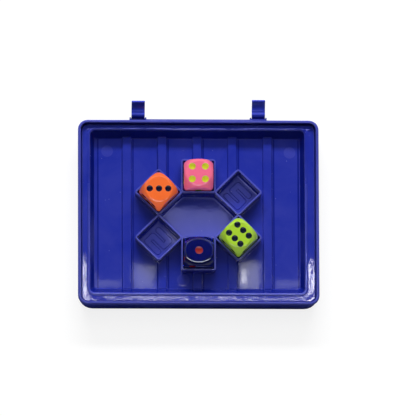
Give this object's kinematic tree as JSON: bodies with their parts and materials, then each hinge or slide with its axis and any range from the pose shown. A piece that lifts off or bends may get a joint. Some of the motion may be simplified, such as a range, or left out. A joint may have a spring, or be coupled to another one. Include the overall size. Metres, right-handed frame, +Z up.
{
  "type": "dice tray case base",
  "caption": "Shallow snap-latch case base with a ribbed drop-in tray, numbered dice pockets round a six-sided well, swinging latches and loose dice.",
  "frame": {"origin": "middle of the case base's underside, on the surface it stands on", "axes": "+X to the right along the long side, +Y towards the latches, +Z up out of the open tray"},
  "size_m": [0.13, 0.1127, 0.0196],
  "materials": {
    "case_plastic": "glossy moulded, violet-blue",
    "tray_plastic": "glossy moulded, violet-blue, faintly rippled",
    "latch_plastic": "satin moulded, dark blue",
    "die_navy_plastic": "polished, navy with a red pip",
    "die_orange_plastic": "polished, orange with black pips",
    "die_pink_plastic": "polished, pink with yellow pips",
    "die_lime_plastic": "polished, lime green with black pips"
  },
  "bodies": {
    "case": {"case_base": "case_plastic", "tray": "tray_plastic"},
    "latch_left": {"latch_left": "latch_plastic"},
    "latch_right": {"latch_right": "latch_plastic"},
    "die_navy": {"die_navy": "die_navy_plastic"},
    "die_orange": {"die_orange": "die_orange_plastic"},
    "die_pink": {"die_pink": "die_pink_plastic"},
    "die_lime": {"die_lime": "die_lime_plastic"}
  },
  "joints": [
    {"name": "latch_left_swing", "type": "hinge", "parent": "case", "child": "latch_left", "pos_m": [-0.0325, 0.05225, 0.0093], "axis": [1, 0, 0], "range_deg": [-90, 30]},
    {"name": "latch_right_swing", "type": "hinge", "parent": "case", "child": "latch_right", "pos_m": [0.0325, 0.05225, 0.0093], "axis": [1, 0, 0], "range_deg": [-83, 37]},
    {"name": "die_navy_lift", "type": "slide", "parent": "case", "child": "die_navy", "axis": [0, 0, 1], "range_m": [0, 0.03]},
    {"name": "die_orange_lift", "type": "slide", "parent": "case", "child": "die_orange", "axis": [0, 0, 1], "range_m": [0, 0.03]},
    {"name": "die_pink_lift", "type": "slide", "parent": "case", "child": "die_pink", "axis": [0, 0, 1], "range_m": [0, 0.03]},
    {"name": "die_lime_lift", "type": "slide", "parent": "case", "child": "die_lime", "axis": [0, 0, 1], "range_m": [0, 0.03]}
  ]
}
